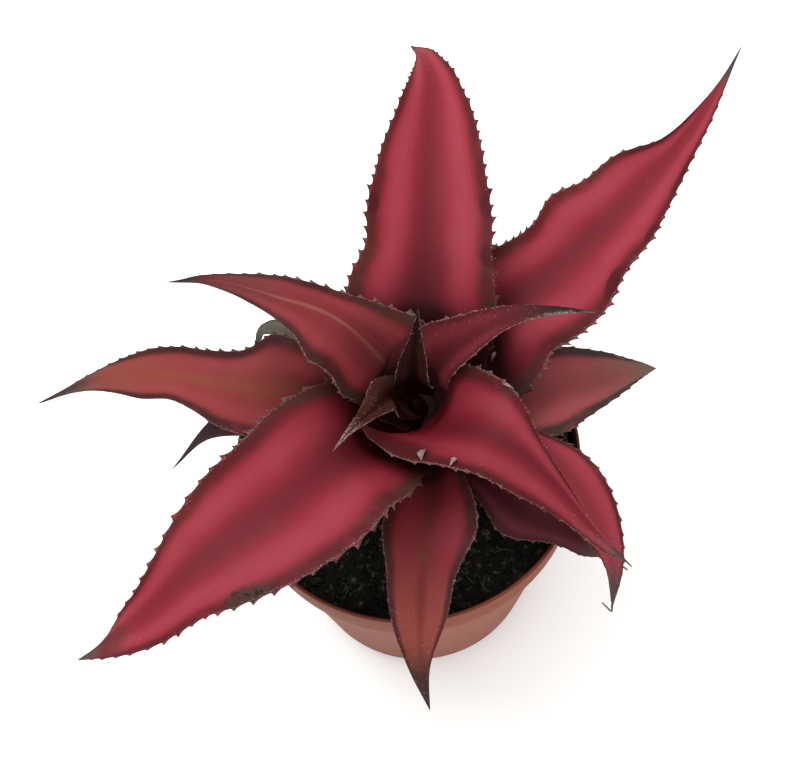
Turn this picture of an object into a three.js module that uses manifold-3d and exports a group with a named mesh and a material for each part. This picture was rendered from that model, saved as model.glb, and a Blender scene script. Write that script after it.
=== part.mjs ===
// A potted earth star: a rosette of toothed, waved leaves on a short stem, rooted in
// potting mix in a plain nursery pot. Millimetres, +Z up, +X right, +Y to the back.
// The origin is the middle of the pot's flat underside.
import * as THREE from 'three';
import Module from 'manifold-3d';
import { mergeVertices } from 'three/addons/utils/BufferGeometryUtils.js';

// The pot: a 12 cm nursery pot with a deep collar at the rim
const POT_HEIGHT = 105;
const RIM_RADIUS = 61;
const BASE_RADIUS = 45;
const WALL = 1.5;
const FLOOR = 2;
const COLLAR_DEPTH = 16;
const COLLAR_STEP = 2.4;
const COLLAR_LEAN = 1;
const COLLAR_FOOT = POT_HEIGHT - COLLAR_DEPTH;
const COLLAR_FOOT_RADIUS = RIM_RADIUS - COLLAR_LEAN;
const BODY_TOP_RADIUS = COLLAR_FOOT_RADIUS - COLLAR_STEP;
const FOOT_EASE = 1;
const LIP_EASE = 0.4;
const ROUND_SEGMENTS = 56;
const DRAIN_HOLES = 6;
const DRAIN_HOLE_RADIUS = 4;
const DRAIN_CIRCLE_RADIUS = 27;
const DRAIN_SEGMENTS = 16;

// The potting mix fills the pot to a little under the rim
const SOIL_LEVEL = 93;
const SOIL_ROUGHNESS = 1.6;
const SOIL_RINGS = [50, 41, 32, 23, 14];
const SEAT_GAP = 0.3;

// The stem stands a little off the pot's axis, in a plain hole in the mix
const STEM = { x: 5, y: 7, radius: 6.1, foot: 78, top: 136, topRadius: 1.6, taperFrom: 99 };
const STEM_EASE = 0.8;
const STEM_SEGMENTS = 20;
const SCAR_PITCH = 3.2;
const SCAR_RELIEF = 0.5;
const SCAR_SHARE = 0.6;
const STEM_HOLE_RADIUS = 7;

// The blades: thick along the midrib and thin at the margins, with one forward tooth in
// every step of each margin. A tooth rises slowly from its root and drops off past its point
const LEAF_SEAT = 0.9;
const MIDRIB_THICKNESS = 1.5;
const MARGIN_THICKNESS = 0.8;
const ROUNDING_OF_FOLD = 0.22;
const INNER_COLUMNS = [-0.55, 0, 0.55];
const TOOTH_PITCH = 5.2;
const TOOTH_LENGTH = 1.4;
const TOOTH_SHARE = 0.25;
const TOOTH_ROOT = 0.35;
const TOOTH_POINT = 0.88;
const LAST_TOOTH = 0.9;
const WAVE_SWELL = 0.8;
const WAVE_LAG = 2.1;

// Every leaf base follows one shared funnel round the stem, each higher than the last,
// so the blades nest; past the funnel a blade goes its own way
const FUNNEL_START = 6;
const FUNNEL_RISE = 17;
const FUNNEL_SPREAD = 21;
const FUNNEL_HOLD = 8;
const FUNNEL_RELEASE = 34;
const CLASP_END = 0.24;
const CLASP_LIMIT = 1.8;
const CLASP_FLARE = 0.6;

// Each leaf from the lowest to the innermost. joint: the height where it leaves the stem.
// midrib: points at even steps from there to the tip.
// left and right: the blade's reach to each side at even steps, as seen from the stem.
// fold: how steeply the halves rise at the base, the middle and the tip.
// wave: height, count and phase of the margin's waves.
// upright: the youngest leaf, which stands in the cup and clasps nothing.
// upright: the youngest leaf, which stands in the cup and clasps nothing.
const LEAVES = [
  {
    name: 'leaf_01',
    joint: 98,
    midrib: [[-18, 11, 106], [-35, 16, 110.5], [-52, 18, 112], [-69.5, 16, 108.5], [-84.4, 8, 98.5]],
    left: [7, 9, 10, 9.2, 6, 1.8], right: [7, 9, 10.4, 10.4, 7.5, 2],
    fold: [0.2, 0.2, 0.1], wave: [0.5, 2, 0],
  },
  {
    name: 'leaf_02',
    joint: 100.7,
    midrib: [[-9, 24, 111], [-22, 36, 116], [-35, 46, 117], [-46, 53, 111], [-51, 50, 101]],
    left: [8, 11, 10, 7, 3, 1.5], right: [8, 12, 12, 8, 3, 1.5],
    fold: [0.2, 0.2, 0.2], wave: [0.5, 2, 0],
  },
  {
    name: 'leaf_03',
    joint: 103,
    midrib: [[20, -10, 111], [31, -24, 114], [41, -33.5, 113], [54, -40, 109.5], [61.5, -44, 99]],
    left: [10, 10.5, 11.5, 11.5, 8.4, 3], right: [10, 6.5, 6.5, 11, 6, 5],
    fold: [0.15, 0.2, 0.2], wave: [1, 2, 0],
  },
  {
    name: 'leaf_04',
    joint: 105.3,
    midrib: [[28, 9, 115], [44.4, 10.2, 118.5], [58.5, 12.8, 118], [78, 15.6, 115], [92, 20.4, 108]],
    left: [10, 14.7, 17, 16.5, 12.5, 7.5], right: [10, 14.6, 17.6, 17.5, 12.4, 4.2],
    fold: [0.15, 0.2, 0.2], wave: [1, 3, 0],
  },
  {
    name: 'leaf_05',
    joint: 107.6,
    midrib: [[7, -21, 117], [2.5, -39.5, 119.5], [-1, -55.5, 115.5], [-3.2, -74, 109], [-2.6, -89, 97]],
    left: [8, 12, 16.3, 11.3, 8.8, 2.5], right: [8, 11.3, 15.3, 12, 10, 4.6],
    fold: [0.15, 0.22, 0.2], wave: [1.5, 2.5, 0],
  },
  {
    name: 'leaf_06',
    joint: 110,
    midrib: [[31, -2.5, 121], [46.5, -14, 124], [56.5, -27, 119], [64, -45, 105], [64.5, -58, 84]],
    left: [11, 7.5, 5.5, 8.7, 8.2, 4.4], right: [10, 11.8, 12.3, 11.5, 8.7, 2.4],
    fold: [0.15, 0.2, 0.2], wave: [1, 3, 0],
  },
  {
    name: 'leaf_07',
    joint: 112.5,
    midrib: [[-29, 18, 124], [-54, 23, 127], [-80, 32, 125], [-106, 37, 118], [-132, 39, 102]],
    left: [11, 14, 17, 19.6, 20.5, 18, 12.5, 8.5, 8.3, 5.9, 3.7, 1.5],
    right: [11, 12.8, 15.3, 18.8, 21.6, 14.4, 10.5, 9.8, 9.3, 7.3, 4, 1],
    fold: [0.15, 0.15, 0.2], wave: [3, 2.2, 0],
  },
  {
    name: 'leaf_08',
    joint: 115.3,
    midrib: [[35, 35, 133], [59.5, 48, 141], [84.5, 63.5, 150], [110, 84, 160], [133, 112, 168]],
    left: [11, 16, 19.5, 19, 16, 16, 20.5, 17, 14.2, 5.6, 2.5, 0.6],
    right: [11, 23, 27.5, 24.5, 26, 25.5, 20.4, 17, 11.5, 6.9, 4.4, 2.2],
    fold: [0.15, 0.22, 0.3], wave: [3.5, 2.2, 1],
  },
  {
    name: 'leaf_09',
    joint: 118,
    midrib: [[-21.5, -11, 138], [-42, -29, 145], [-69.5, -44.5, 142], [-92, -57, 132], [-116.4, -62, 112]],
    left: [10.5, 19.3, 26, 27.2, 28.7, 26.3, 23.7, 20.4, 15.8, 12.8, 9.2, 4.9],
    right: [13, 22, 25, 26, 24.2, 22.8, 21.4, 17.2, 11.4, 7.4, 5.2, 0.8],
    fold: [0.15, 0.2, 0.15], wave: [1.5, 3, 0],
  },
  {
    name: 'leaf_10',
    joint: 121,
    midrib: [[11, 39, 140], [16.5, 65.5, 152], [21, 94, 158], [24, 122, 159], [19, 141.3, 152]],
    left: [11, 19.3, 24.5, 24.7, 20.4, 20.4, 18.4, 16.3, 12, 8.5, 5.3, 1.2],
    right: [10.5, 20, 26, 24.8, 23, 21.9, 19.5, 17.3, 14.7, 10, 6.2, 4.7],
    fold: [0.15, 0.28, 0.2], wave: [1.5, 4, 0.5],
  },
  {
    name: 'leaf_11',
    joint: 124.5,
    midrib: [[12, -1, 137], [30.5, -13.7, 142], [44.2, -26.6, 138], [57.6, -43, 127], [69.6, -50.2, 108]],
    left: [13.5, 19.6, 20.5, 15.8, 8.2, 3.3, 1.6, 0.5],
    right: [36, 25.6, 18.4, 17.2, 14.6, 10.9, 6.3, 3.9],
    fold: [0.35, 0.2, 0.4], wave: [1.5, 3, 0],
  },
  {
    name: 'leaf_12',
    joint: 127.3,
    midrib: [[-5.5, 23, 142], [-20, 33.2, 153], [-38, 41.2, 156], [-58, 52.8, 151], [-76, 59.8, 142]],
    left: [10.8, 14.2, 18, 21.2, 20, 21, 12.8, 7.5, 5.4, 4.2, 2.2, 0.6],
    right: [9.6, 17, 19, 14.4, 10.6, 7.7, 6.7, 6.9, 5.9, 3.6, 1.5, 0.6],
    fold: [0.2, 0.35, 0.3], wave: [1.5, 2.5, 0],
  },
  {
    name: 'leaf_13',
    joint: 130.3,
    midrib: [[14.2, 18, 141.5], [27, 21.6, 148], [40.3, 23.6, 153], [53.7, 23, 156], [66.8, 19.7, 158]],
    left: [14, 14, 9, 5.5, 3.3, 1.2], right: [9, 7.5, 5.8, 4.8, 3, 1.6],
    fold: [0.3, 0.5, 0.3], wave: [0.6, 2, 0],
  },
  {
    name: 'leaf_14',
    joint: 133.5,
    midrib: [[-4, 9, 139.5], [-8, 4, 145], [-12.5, -2, 148], [-18, -8.7, 150], [-23.6, -15, 150.5]],
    left: [9, 7.5, 4.5, 2.8, 1.8, 0.8], right: [9, 6.5, 5.2, 3.6, 2, 0.9],
    fold: [0.5, 0.5, 0.4], wave: [0.3, 2, 0],
  },
  {
    name: 'leaf_15',
    upright: true,
    joint: 135,
    midrib: [[5, 10.6, 143], [5.8, 13.2, 150], [6.8, 16.4, 156.5], [8, 19.7, 163], [9.2, 23.1, 169.5]],
    left: [5.6, 5.8, 5.2, 4, 2, 0.8], right: [6.5, 6.3, 5.2, 4.4, 2.9, 1.4],
    fold: [0.35, 0.5, 0.4], wave: [0.2, 2, 0],
  },
];

const POT_MATERIAL = { color: 0x9c6352, roughness: 0.62, metalness: 0 };
const SOIL_MATERIAL = { color: 0x14120f, roughness: 0.95, metalness: 0 };
const STEM_MATERIAL = { color: 0x5a3f2e, roughness: 0.85, metalness: 0 };
const LEAF_MATERIAL = { color: 0x8c2f3b, roughness: 0.55, metalness: 0 };

const { clamp, smoothstep } = THREE.MathUtils;
const wasm = await Module();
wasm.setup();

function makeMesh(name, geometry, finish) {
  geometry.computeVertexNormals();
  const mesh = new THREE.Mesh(geometry, new THREE.MeshStandardMaterial(finish));
  mesh.name = name;
  return mesh;
}

function geometryFrom(points, triangles) {
  const geometry = new THREE.BufferGeometry();
  geometry.setAttribute('position', new THREE.Float32BufferAttribute(points.flat(), 3));
  geometry.setIndex(triangles.flat());
  return geometry;
}

// A solid body turned round the z axis from [radius, height] points
function turned(outline, segments) {
  const points = outline.map(([radius, height]) => new THREE.Vector2(radius, height));
  return new THREE.LatheGeometry(points, segments).rotateX(Math.PI / 2);
}

function toSolid(source) {
  const geometry = source.clone();
  geometry.deleteAttribute('normal');
  geometry.deleteAttribute('uv');
  const merged = mergeVertices(geometry, 1e-4);
  const index = merged.index.array;
  const triVerts = [];
  for (let i = 0; i < index.length; i += 3) {
    const [a, b, c] = index.slice(i, i + 3);
    if (a !== b && b !== c && c !== a) triVerts.push(a, b, c);
  }
  const vertProperties = Float32Array.from(merged.attributes.position.array);
  return new wasm.Manifold(new wasm.Mesh({ numProp: 3, vertProperties, triVerts: Uint32Array.from(triVerts) }));
}

function fromSolid(solid) {
  const mesh = solid.getMesh();
  const geometry = new THREE.BufferGeometry();
  geometry.setAttribute('position', new THREE.Float32BufferAttribute(mesh.vertProperties, 3));
  geometry.setIndex(new THREE.Uint32BufferAttribute(mesh.triVerts, 1));
  return geometry;
}

function makePot() {
  const outside = [
    [0, 0],
    [BASE_RADIUS - FOOT_EASE, 0],
    [BASE_RADIUS, FOOT_EASE],
    [BODY_TOP_RADIUS, COLLAR_FOOT - FOOT_EASE],
    [COLLAR_FOOT_RADIUS, COLLAR_FOOT],
    [RIM_RADIUS, POT_HEIGHT - 2 * LIP_EASE],
    [RIM_RADIUS - LIP_EASE, POT_HEIGHT],
  ];
  const inside = [
    [RIM_RADIUS - WALL + LIP_EASE, POT_HEIGHT],
    [RIM_RADIUS - WALL, POT_HEIGHT - 2 * LIP_EASE],
    [COLLAR_FOOT_RADIUS - WALL, COLLAR_FOOT + WALL],
    [BODY_TOP_RADIUS - WALL, COLLAR_FOOT],
    [BASE_RADIUS - WALL, FLOOR + FOOT_EASE],
    [BASE_RADIUS - WALL - FOOT_EASE, FLOOR],
    [0, FLOOR],
  ];
  let solid = toSolid(turned([...outside, ...inside], ROUND_SEGMENTS));
  for (let i = 0; i < DRAIN_HOLES; i += 1) {
    const angle = ((i + 0.5) / DRAIN_HOLES) * 2 * Math.PI;
    const drill = new THREE.CylinderGeometry(DRAIN_HOLE_RADIUS, DRAIN_HOLE_RADIUS, 4 * FLOOR, DRAIN_SEGMENTS);
    drill.rotateX(Math.PI / 2);
    drill.translate(DRAIN_CIRCLE_RADIUS * Math.cos(angle), DRAIN_CIRCLE_RADIUS * Math.sin(angle), 0);
    solid = solid.subtract(toSolid(drill));
  }
  return makeMesh('pot', fromSolid(solid), POT_MATERIAL);
}

// A repeatable number between 0 and 1 for each pair of whole numbers
function scatter(i, j) {
  const s = Math.sin(i * 127.1 + j * 311.7) * 43758.5453;
  return s - Math.floor(s);
}

// The mix keeps the pot's inner shape, with a lumpy top and a plain hole for the stem
function makePottingMix() {
  const foot = FLOOR + SEAT_GAP;
  const reach = WALL + SEAT_GAP;
  const collarInside = COLLAR_FOOT_RADIUS - reach;
  const holeFloor = STEM.foot - SEAT_GAP;
  // each ring: its radius, its height, how far its centre lies towards the stem, its lumps
  const rings = [
    { radius: BASE_RADIUS - reach - FOOT_EASE, height: foot, pull: 0, lump: 0 },
    { radius: BASE_RADIUS - reach, height: foot + FOOT_EASE, pull: 0, lump: 0 },
    { radius: BODY_TOP_RADIUS - reach, height: COLLAR_FOOT + SEAT_GAP, pull: 0, lump: 0 },
    { radius: collarInside, height: COLLAR_FOOT + reach, pull: 0, lump: 0 },
    { radius: collarInside, height: SOIL_LEVEL, pull: 0, lump: 0 },
    ...SOIL_RINGS.map((radius) => (
      { radius, height: SOIL_LEVEL, pull: 1 - radius / collarInside, lump: SOIL_ROUGHNESS })),
    { radius: STEM_HOLE_RADIUS, height: SOIL_LEVEL, pull: 1, lump: 0 },
    { radius: STEM_HOLE_RADIUS, height: holeFloor, pull: 1, lump: 0 },
  ];
  const points = [];
  const triangles = [];
  rings.forEach(({ radius, height, pull, lump }, k) => {
    for (let j = 0; j < ROUND_SEGMENTS; j += 1) {
      const angle = (j / ROUND_SEGMENTS) * 2 * Math.PI;
      const x = pull * STEM.x + radius * Math.cos(angle);
      const y = pull * STEM.y + radius * Math.sin(angle);
      points.push([x, y, height + lump * (2 * scatter(k, j) - 1)]);
    }
  });
  const bottomCentre = points.push([0, 0, foot]) - 1;
  const holeCentre = points.push([STEM.x, STEM.y, holeFloor]) - 1;
  const last = (rings.length - 1) * ROUND_SEGMENTS;
  for (let j = 0; j < ROUND_SEGMENTS; j += 1) {
    const n = (j + 1) % ROUND_SEGMENTS;
    triangles.push([bottomCentre, n, j]);
    for (let lower = 0; lower < last; lower += ROUND_SEGMENTS) {
      const upper = lower + ROUND_SEGMENTS;
      triangles.push([lower + j, lower + n, upper + n]);
      triangles.push([lower + j, upper + n, upper + j]);
    }
    triangles.push([holeCentre, last + j, last + n]);
  }
  return makeMesh('potting_mix', geometryFrom(points, triangles), SOIL_MATERIAL);
}

// The stem, ringed with the scars of old leaves where it shows above the mix
function makeStem() {
  const lowestLeaf = LEAVES[0].joint;
  const outline = [[0, STEM.foot], [STEM.radius - FOOT_EASE, STEM.foot], [STEM.radius, STEM.foot + FOOT_EASE]];
  for (let z = SOIL_LEVEL - SCAR_PITCH; z < lowestLeaf - SCAR_PITCH; z += SCAR_PITCH) {
    outline.push([STEM.radius + SCAR_RELIEF, z]);
    outline.push([STEM.radius - SCAR_RELIEF, z + SCAR_SHARE * SCAR_PITCH]);
  }
  outline.push([STEM.radius, lowestLeaf]);
  outline.push([STEM.radius, STEM.taperFrom]);
  outline.push([STEM.topRadius, STEM.top]);
  outline.push([STEM.topRadius / 2, STEM.top + STEM_EASE]);
  outline.push([0, STEM.top + STEM_EASE]);
  const mesh = makeMesh('stem', turned(outline, STEM_SEGMENTS), STEM_MATERIAL);
  mesh.position.set(STEM.x, STEM.y, 0);
  return mesh;
}

function stemRadius(height) {
  const taper = clamp((height - STEM.taperFrom) / (STEM.top - STEM.taperFrom), 0, 1);
  return STEM.radius + (STEM.topRadius - STEM.radius) * taper;
}

// A smooth curve through evenly spaced values, read at t from 0 to 1
function smooth(values, t) {
  const last = values.length - 1;
  const span = clamp(t, 0, 1) * last;
  const i = Math.min(Math.floor(span), last - 1);
  const u = span - i;
  const b = values[i];
  const c = values[i + 1];
  const a = i > 0 ? values[i - 1] : 2 * b - c;
  const d = i + 2 <= last ? values[i + 2] : 2 * c - b;
  return b + 0.5 * u * (c - a + u * (2 * a - 5 * b + 4 * c - d + u * (3 * (b - c) + d - a)));
}

function midribPoint(leaf, t) {
  const [x, y] = leaf.midrib[0];
  const away = (stemRadius(leaf.joint) + LEAF_SEAT) / Math.hypot(x - STEM.x, y - STEM.y);
  const root = [STEM.x + away * (x - STEM.x), STEM.y + away * (y - STEM.y), leaf.joint];
  const axis = (k) => smooth([root, ...leaf.midrib].map((point) => point[k]), t);
  return new THREE.Vector3(axis(0), axis(1), axis(2));
}

// The blade's own frame at t: across to its right, and up from its face
function bladeFrame(leaf, t) {
  const step = 0.002;
  const ahead = midribPoint(leaf, Math.min(t + step, 1));
  const behind = midribPoint(leaf, Math.max(t - step, 0));
  const forward = ahead.sub(behind).normalize();
  const across = new THREE.Vector3().crossVectors(forward, new THREE.Vector3(0, 0, 1)).normalize();
  const up = new THREE.Vector3().crossVectors(across, forward);
  return { across, up };
}

function halfWidth(leaf, t, side) {
  const reaches = side < 0 ? leaf.left : leaf.right;
  return Math.max(smooth([...reaches, 0], t), 0);
}

// How far the blade stands above its midrib: the fold of its halves, and the waves
function bladeLift(leaf, t, v) {
  const side = v < 0 ? -1 : 1;
  const easing = ROUNDING_OF_FOLD;
  const rise = (Math.hypot(v, easing) - easing) / (Math.hypot(1, easing) - easing);
  const [height, count, phase] = leaf.wave;
  const swell = Math.sin(Math.PI * t ** WAVE_SWELL) ** WAVE_SWELL;
  const lag = side < 0 ? WAVE_LAG : 0;
  const wave = height * swell * Math.sin(2 * Math.PI * count * t + phase + lag);
  return smooth(leaf.fold, t) * halfWidth(leaf, t, side) * rise + wave * v * v;
}

// Where a point across the base lies once the blade clasps the stem: round its axis
function claspPoint(middle, v, reachAcross) {
  const dx = middle.x - STEM.x;
  const dy = middle.y - STEM.y;
  const near = Math.hypot(dx, dy);
  const turn = -v * Math.min(reachAcross / near, CLASP_LIMIT);
  const flare = Math.hypot(near, CLASP_FLARE * v * reachAcross) / near;
  const cos = Math.cos(turn) * flare;
  const sin = Math.sin(turn) * flare;
  return { x: STEM.x + dx * cos - dy * sin, y: STEM.y + dx * sin + dy * cos };
}

// The base's share of the shared funnel: its sides wrap the stem, and its height is the
// funnel's, let go with the distance from the stem
function nestBase(leaf, t, point, clasp) {
  const clasped = 1 - smoothstep(t, 0, CLASP_END);
  point.x += clasped * (clasp.x - point.x);
  point.y += clasped * (clasp.y - point.y);
  const reach = Math.hypot(point.x - STEM.x, point.y - STEM.y);
  const funnel = FUNNEL_RISE * (1 - Math.exp(-Math.max(reach - FUNNEL_START, 0) / FUNNEL_SPREAD));
  const free = smoothstep(reach, FUNNEL_HOLD, FUNNEL_RELEASE);
  point.z = (1 - free) * (leaf.joint + funnel) + free * point.z;
}

// A point of the blade's middle surface: t along the leaf, v from -1 at the left margin
// to 1 at the right, plus a reach beyond the margin for a tooth
function bladePoint(leaf, t, v, beyond) {
  const { across, up } = bladeFrame(leaf, t);
  const side = v < 0 ? -1 : 1;
  const reachAcross = halfWidth(leaf, t, side);
  const point = midribPoint(leaf, t);
  const clasp = claspPoint(point, v, reachAcross + beyond);
  point.addScaledVector(across, v * reachAcross + side * beyond);
  point.addScaledVector(up, bladeLift(leaf, t, v));
  if (!leaf.upright) nestBase(leaf, t, point, clasp);
  return point;
}

function bladeLength(leaf) {
  const pieces = 50;
  let length = 0;
  for (let i = 0; i < pieces; i += 1) {
    length += midribPoint(leaf, i / pieces).distanceTo(midribPoint(leaf, (i + 1) / pieces));
  }
  return length;
}

// One blade as a closed solid: rows of points along it, an upper and a lower face split
// alike, and a tooth in every row of both margins
function makeBlade(leaf) {
  const points = [];
  const triangles = [];
  const rows = Math.max(8, Math.round(bladeLength(leaf) / TOOTH_PITCH));
  const lastColumn = INNER_COLUMNS.length - 1;
  const addPair = (t, v, beyond = 0) => {
    const { up } = bladeFrame(leaf, t);
    const rib = (MIDRIB_THICKNESS - MARGIN_THICKNESS) * (1 - v * v) * (1 - t * t);
    const half = (MARGIN_THICKNESS + rib) / 2;
    const middle = bladePoint(leaf, t, v, beyond);
    points.push(middle.clone().addScaledVector(up, half).toArray());
    points.push(middle.clone().addScaledVector(up, -half).toArray());
    return points.length - 2;
  };
  // a triangle on the upper face and its mirror on the lower one
  const addFaces = (a, b, c) => {
    triangles.push([a, b, c]);
    triangles.push([a + 1, c + 1, b + 1]);
  };
  const addEdge = (a, b) => {
    triangles.push([a, a + 1, b + 1]);
    triangles.push([a, b + 1, b]);
  };
  const grid = [];
  for (let i = 0; i < rows; i += 1) {
    const t = i / rows;
    const row = { inner: INNER_COLUMNS.map((v) => addPair(t, v)) };
    for (const side of [-1, 1]) {
      const longest = TOOTH_SHARE * halfWidth(leaf, (i + 1) / rows, side);
      const tooth = t < LAST_TOOTH ? Math.min(TOOTH_LENGTH, longest) : 0;
      const valley = addPair(t, side);
      const root = addPair((i + TOOTH_ROOT) / rows, side);
      row[side] = [valley, root, addPair((i + TOOTH_POINT) / rows, side, tooth)];
    }
    grid.push(row);
  }
  const tip = addPair(1, 0);
  const tipRow = { inner: INNER_COLUMNS.map(() => tip), [-1]: [tip], 1: [tip] };
  grid.forEach((row, i) => {
    const ahead = grid[i + 1] ?? tipRow;
    for (let j = 0; j < lastColumn; j += 1) {
      const [a, b] = [row.inner[j], row.inner[j + 1]];
      const [d, c] = [ahead.inner[j], ahead.inner[j + 1]];
      addFaces(a, b, c);
      if (c !== d) addFaces(a, c, d);
    }
    for (const side of [-1, 1]) {
      const addFlank = side > 0 ? addFaces : (a, b, c) => addFaces(a, c, b);
      const addMargin = side > 0 ? addEdge : (a, b) => addEdge(b, a);
      const column = side > 0 ? lastColumn : 0;
      const [inner, innerAhead] = [row.inner[column], ahead.inner[column]];
      const [valley, root, point] = row[side];
      const valleyAhead = ahead[side][0];
      addFlank(inner, valley, root);
      addFlank(inner, root, innerAhead);
      if (innerAhead !== valleyAhead) addFlank(innerAhead, root, valleyAhead);
      addFlank(root, point, valleyAhead);
      addMargin(valley, root);
      addMargin(root, point);
      addMargin(point, valleyAhead);
    }
  });
  const base = [grid[0][-1][0], ...grid[0].inner, grid[0][1][0]];
  for (let j = 0; j < base.length - 1; j += 1) addEdge(base[j], base[j + 1]);
  return makeMesh(leaf.name, geometryFrom(points, triangles), LEAF_MATERIAL);
}

const plant = new THREE.Group();
plant.add(makePot(), makePottingMix(), makeStem());
for (const leaf of LEAVES) plant.add(makeBlade(leaf));

export default plant;
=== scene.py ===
import math
import random

import bpy
import numpy as np
from mathutils import Matrix, Vector, noise


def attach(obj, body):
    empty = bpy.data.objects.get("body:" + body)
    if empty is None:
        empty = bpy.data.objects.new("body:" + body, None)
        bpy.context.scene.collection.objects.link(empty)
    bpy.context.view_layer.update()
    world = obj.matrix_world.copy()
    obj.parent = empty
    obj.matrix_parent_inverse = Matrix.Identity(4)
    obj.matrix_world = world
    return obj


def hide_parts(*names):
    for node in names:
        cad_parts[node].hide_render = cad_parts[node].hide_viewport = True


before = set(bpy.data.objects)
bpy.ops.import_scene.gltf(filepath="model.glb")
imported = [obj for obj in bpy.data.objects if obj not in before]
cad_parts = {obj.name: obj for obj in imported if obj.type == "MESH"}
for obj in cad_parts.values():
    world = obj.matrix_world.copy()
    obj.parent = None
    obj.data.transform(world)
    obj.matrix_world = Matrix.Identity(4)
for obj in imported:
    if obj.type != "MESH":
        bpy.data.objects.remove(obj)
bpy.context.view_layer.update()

# The view: from above and a little in front, close to the plant, with the camera turned
# slightly anticlockwise. Place in metres, angles in degrees.
VIEW_PLACE = Vector((0.00066, -0.20623, 0.59020))
VIEW_ELEVATION = 64.07
VIEW_ROLL = -6.87
VIEW_WIDTH_ANGLE = 30

camera = bpy.data.objects.new("camera", bpy.data.cameras.new("camera"))
bpy.context.scene.collection.objects.link(camera)
camera.data.sensor_fit = "HORIZONTAL"
camera.data.angle = math.radians(VIEW_WIDTH_ANGLE)
camera.matrix_world = (
    Matrix.Translation(VIEW_PLACE)
    @ Matrix.Rotation(math.radians(90 - VIEW_ELEVATION), 4, "X")
    @ Matrix.Rotation(math.radians(VIEW_ROLL), 4, "Z")
)
bpy.context.scene.camera = camera

# The light: a very bright white room with one broad lamp high at the back left, over a
# pale floor that the pot stands on. A surface looks LIGHT_GAIN times as light as it is.
ROOM_BRIGHTNESS = 1.42
LAMP_PLACE = Vector((-0.6, 0.45, 1.5))
LAMP_AIM = Vector((0, 0, 0.12))
LAMP_WIDTH = 0.8
LAMP_POWER = 14
LIGHT_GAIN = 1.75
FLOOR_WIDTH = 6
FLOOR_DROP = 0.0002


def add_node(tree, kind, settings, inputs):
    """A node with its settings, and then the values or links of its sockets."""
    made = tree.nodes.new(kind)
    for name, value in settings.items():
        setattr(made, name, value)
    for name, value in inputs.items():
        if isinstance(value, bpy.types.NodeSocket):
            tree.links.new(value, made.inputs[name])
        else:
            made.inputs[name].default_value = value
    return made


class Wire:
    """A socket of a material's nodes. Sums on it add Math nodes, and node() adds any other."""

    def __init__(self, tree, socket=None):
        self.tree = tree
        self.socket = socket

    def node(self, kind, inputs, out=0, **settings):
        sockets = {name: value.socket if isinstance(value, Wire) else value for name, value in inputs.items()}
        return Wire(self.tree, add_node(self.tree, "ShaderNode" + kind, settings, sockets).outputs[out])

    def math(self, operation, first, second=0.0):
        return self.node("Math", {0: first, 1: second}, operation=operation)

    def __add__(self, other):
        return self.math("ADD", self, other)

    def __radd__(self, other):
        return self.math("ADD", other, self)

    def __sub__(self, other):
        return self.math("SUBTRACT", self, other)

    def __rsub__(self, other):
        return self.math("SUBTRACT", other, self)

    def __mul__(self, other):
        return self.math("MULTIPLY", self, other)

    def __rmul__(self, other):
        return self.math("MULTIPLY", other, self)

    def __truediv__(self, other):
        return self.math("DIVIDE", self, other)

    def __pow__(self, other):
        return self.math("POWER", self, other)

    def __abs__(self):
        return self.math("ABSOLUTE", self)


def ramp(value, low, high, start=0.0, end=1.0):
    """A soft step: start below low, end above high."""
    stops = {"Value": value, "From Min": low, "From Max": high, "To Min": start, "To Max": end}
    return value.node("MapRange", stops, interpolation_type="SMOOTHSTEP")


def mix(share, first, second):
    """Two colours mixed by a share from 0 to 1."""
    return share.node("Mix", {0: share, 6: first, 7: second}, out=2, data_type="RGBA")


def seen(red, green, blue):
    """The surface colour that looks like this screen colour, 0 to 255, in this light."""
    return tuple((part / 255) ** 2.2 / LIGHT_GAIN for part in (red, green, blue)) + (1.0,)


def new_material(name, **constants):
    """A material with one Principled shader, its constant values set, and its wires."""
    material = bpy.data.materials.new(name)
    material.use_nodes = True
    shader = material.node_tree.nodes["Principled BSDF"]
    for socket, value in constants.items():
        shader.inputs[socket.replace("_", " ")].default_value = value
    return material, shader, Wire(material.node_tree)


def grain(wire, coordinates, scale, detail=3.0, roughness=0.6):
    """Soft noise from 0 to 1 at a scale in lumps per unit of the coordinates."""
    inputs = {"Vector": coordinates, "Scale": scale, "Detail": detail, "Roughness": roughness}
    return wire.node("TexNoise", inputs)


def place_of(wire):
    """Where a point of the piece lies, in metres."""
    return wire.node("TexCoord", {}, out="Object")


def axis(wire, vector, number):
    """One of a vector's three numbers, counted from 0."""
    return wire.node("SeparateXYZ", {0: vector}, out=number)


def dress(shader, wire, base_color=None, roughness=None, height=None, depth=0.0002):
    """Leads the varying values of a material to its shader; height becomes relief."""
    links = wire.tree.links
    if base_color is not None:
        links.new(base_color.socket, shader.inputs["Base Color"])
    if roughness is not None:
        links.new(roughness.socket, shader.inputs["Roughness"])
    if height is not None:
        relief = wire.node("Bump", {"Height": height, "Distance": depth, "Strength": 1.0})
        links.new(relief.socket, shader.inputs["Normal"])


def new_piece(name, vertices, faces, material, edges=()):
    """A smooth-shaded mesh in metres, with its material."""
    mesh = bpy.data.meshes.new(name)
    mesh.from_pydata(vertices, edges, faces)
    mesh.materials.append(material)
    mesh.shade_smooth()
    piece = bpy.data.objects.new(name, mesh)
    bpy.context.scene.collection.objects.link(piece)
    return piece


world = bpy.data.worlds.new("room")
world.use_nodes = True
world.node_tree.nodes["Background"].inputs["Color"].default_value = (1.0, 1.0, 1.0, 1.0)
world.node_tree.nodes["Background"].inputs["Strength"].default_value = ROOM_BRIGHTNESS
bpy.context.scene.world = world
bpy.context.scene.view_settings.view_transform = "Standard"

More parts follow.
